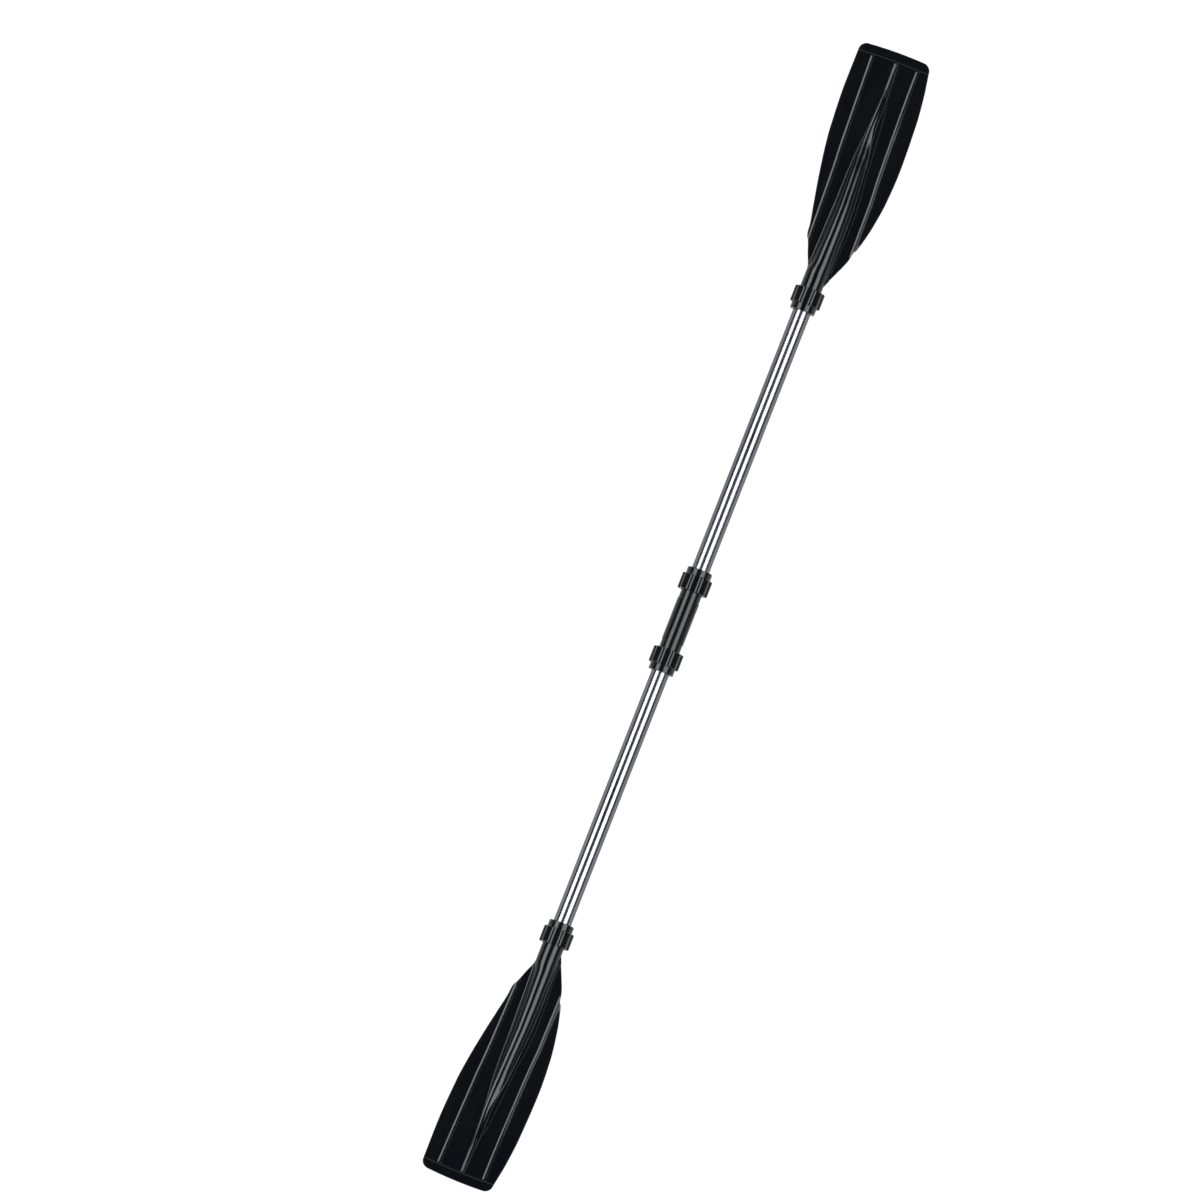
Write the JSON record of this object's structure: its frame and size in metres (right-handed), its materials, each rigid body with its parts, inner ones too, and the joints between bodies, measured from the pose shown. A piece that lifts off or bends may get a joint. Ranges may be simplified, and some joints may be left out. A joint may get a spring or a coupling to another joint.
{
  "type": "kayak paddle",
  "caption": "Take-apart kayak paddle with ribbed plastic blades, aluminium tubes, a centre hand grip and lobed compression nuts that free each section to turn or pull apart",
  "frame": {"origin": "On the shaft axis at the middle of the centre hand grip", "axes": "+X along the shaft towards blade b, +Z square to the blade faces on the side the blades curve towards, +Y across the blades so that the frame is right-handed"},
  "size_m": [2.1814, 0.1512, 0.0546],
  "materials": {
    "blade_plastic": "glossy injection-moulded black plastic",
    "nut_plastic": "glossy moulded black plastic",
    "grip_plastic": "satin-gloss moulded black plastic",
    "wedge_plastic": "matt dark grey moulded plastic",
    "seal_rubber": "black rubber",
    "tube_metal": "bright anodised drawn aluminium",
    "plug_plastic": "matt black moulded plastic"
  },
  "bodies": {
    "grip": {"hand_grip": "grip_plastic"},
    "wedge_grip_a": {"wedge_ring_grip_a": "wedge_plastic"},
    "nut_grip_a": {"clamp_nut_grip_a": "nut_plastic"},
    "seal_grip_a": {"seal_ring_grip_a": "seal_rubber"},
    "tube_a": {"shaft_tube_a": "tube_metal", "tube_plug_a_outer": "plug_plastic", "tube_plug_a_inner": "plug_plastic"},
    "seal_blade_a": {"seal_ring_blade_a": "seal_rubber"},
    "blade_a": {"blade_a": "blade_plastic"},
    "wedge_blade_a": {"wedge_ring_blade_a": "wedge_plastic"},
    "nut_blade_a": {"clamp_nut_blade_a": "nut_plastic"},
    "wedge_grip_b": {"wedge_ring_grip_b": "wedge_plastic"},
    "nut_grip_b": {"clamp_nut_grip_b": "nut_plastic"},
    "seal_grip_b": {"seal_ring_grip_b": "seal_rubber"},
    "tube_b": {"shaft_tube_b": "tube_metal", "tube_plug_b_outer": "plug_plastic", "tube_plug_b_inner": "plug_plastic"},
    "seal_blade_b": {"seal_ring_blade_b": "seal_rubber"},
    "blade_b": {"blade_b": "blade_plastic"},
    "wedge_blade_b": {"wedge_ring_blade_b": "wedge_plastic"},
    "nut_blade_b": {"clamp_nut_blade_b": "nut_plastic"}
  },
  "joints": [
    {"name": "wedge_travel_grip_a", "type": "slide", "parent": "grip", "child": "wedge_grip_a", "axis": [-1, 0, 0], "range_m": [0, 0.0075]},
    {"name": "nut_turn_grip_a", "type": "hinge", "parent": "wedge_grip_a", "child": "nut_grip_a", "pos_m": [-0.0985, 0, 0], "axis": [-1, 0, 0], "range_deg": [0, 540]},
    {"name": "tube_turn_a", "type": "hinge", "parent": "grip", "child": "seal_grip_a", "pos_m": [-0.0985, 0, 0], "axis": [1, 0, 0], "continuous": true},
    {"name": "tube_pull_a", "type": "slide", "parent": "seal_grip_a", "child": "tube_a", "axis": [-1, 0, 0], "range_m": [0, 0.1]},
    {"name": "blade_pull_a", "type": "slide", "parent": "tube_a", "child": "seal_blade_a", "axis": [-1, 0, 0], "range_m": [0, 0.08]},
    {"name": "blade_turn_a", "type": "hinge", "parent": "seal_blade_a", "child": "blade_a", "pos_m": [-0.6005, 0, 0], "axis": [1, 0, 0], "continuous": true},
    {"name": "wedge_travel_blade_a", "type": "slide", "parent": "blade_a", "child": "wedge_blade_a", "axis": [1, 0, 0], "range_m": [0, 0.0075]},
    {"name": "nut_turn_blade_a", "type": "hinge", "parent": "wedge_blade_a", "child": "nut_blade_a", "pos_m": [-0.6005, 0, 0], "axis": [1, 0, 0], "range_deg": [0, 540]},
    {"name": "wedge_travel_grip_b", "type": "slide", "parent": "grip", "child": "wedge_grip_b", "axis": [1, 0, 0], "range_m": [0, 0.0075]},
    {"name": "nut_turn_grip_b", "type": "hinge", "parent": "wedge_grip_b", "child": "nut_grip_b", "pos_m": [0.0985, 0, 0], "axis": [1, 0, 0], "range_deg": [0, 540]},
    {"name": "tube_turn_b", "type": "hinge", "parent": "grip", "child": "seal_grip_b", "pos_m": [0.0985, 0, 0], "axis": [1, 0, 0], "continuous": true},
    {"name": "tube_pull_b", "type": "slide", "parent": "seal_grip_b", "child": "tube_b", "axis": [1, 0, 0], "range_m": [0, 0.1]},
    {"name": "blade_pull_b", "type": "slide", "parent": "tube_b", "child": "seal_blade_b", "axis": [1, 0, 0], "range_m": [0, 0.08]},
    {"name": "blade_turn_b", "type": "hinge", "parent": "seal_blade_b", "child": "blade_b", "pos_m": [0.5825, 0, 0], "axis": [1, 0, 0], "continuous": true},
    {"name": "wedge_travel_blade_b", "type": "slide", "parent": "blade_b", "child": "wedge_blade_b", "axis": [-1, 0, 0], "range_m": [0, 0.0075]},
    {"name": "nut_turn_blade_b", "type": "hinge", "parent": "wedge_blade_b", "child": "nut_blade_b", "pos_m": [0.5825, 0, 0], "axis": [-1, 0, 0], "range_deg": [0, 540]}
  ],
  "couplings": [
    {"joint": "wedge_travel_grip_a", "follows": "nut_turn_grip_a", "m_per_rad": 0.00079577},
    {"joint": "wedge_travel_blade_a", "follows": "nut_turn_blade_a", "m_per_rad": 0.00079577},
    {"joint": "wedge_travel_grip_b", "follows": "nut_turn_grip_b", "m_per_rad": 0.00079577},
    {"joint": "wedge_travel_blade_b", "follows": "nut_turn_blade_b", "m_per_rad": 0.00079577}
  ]
}
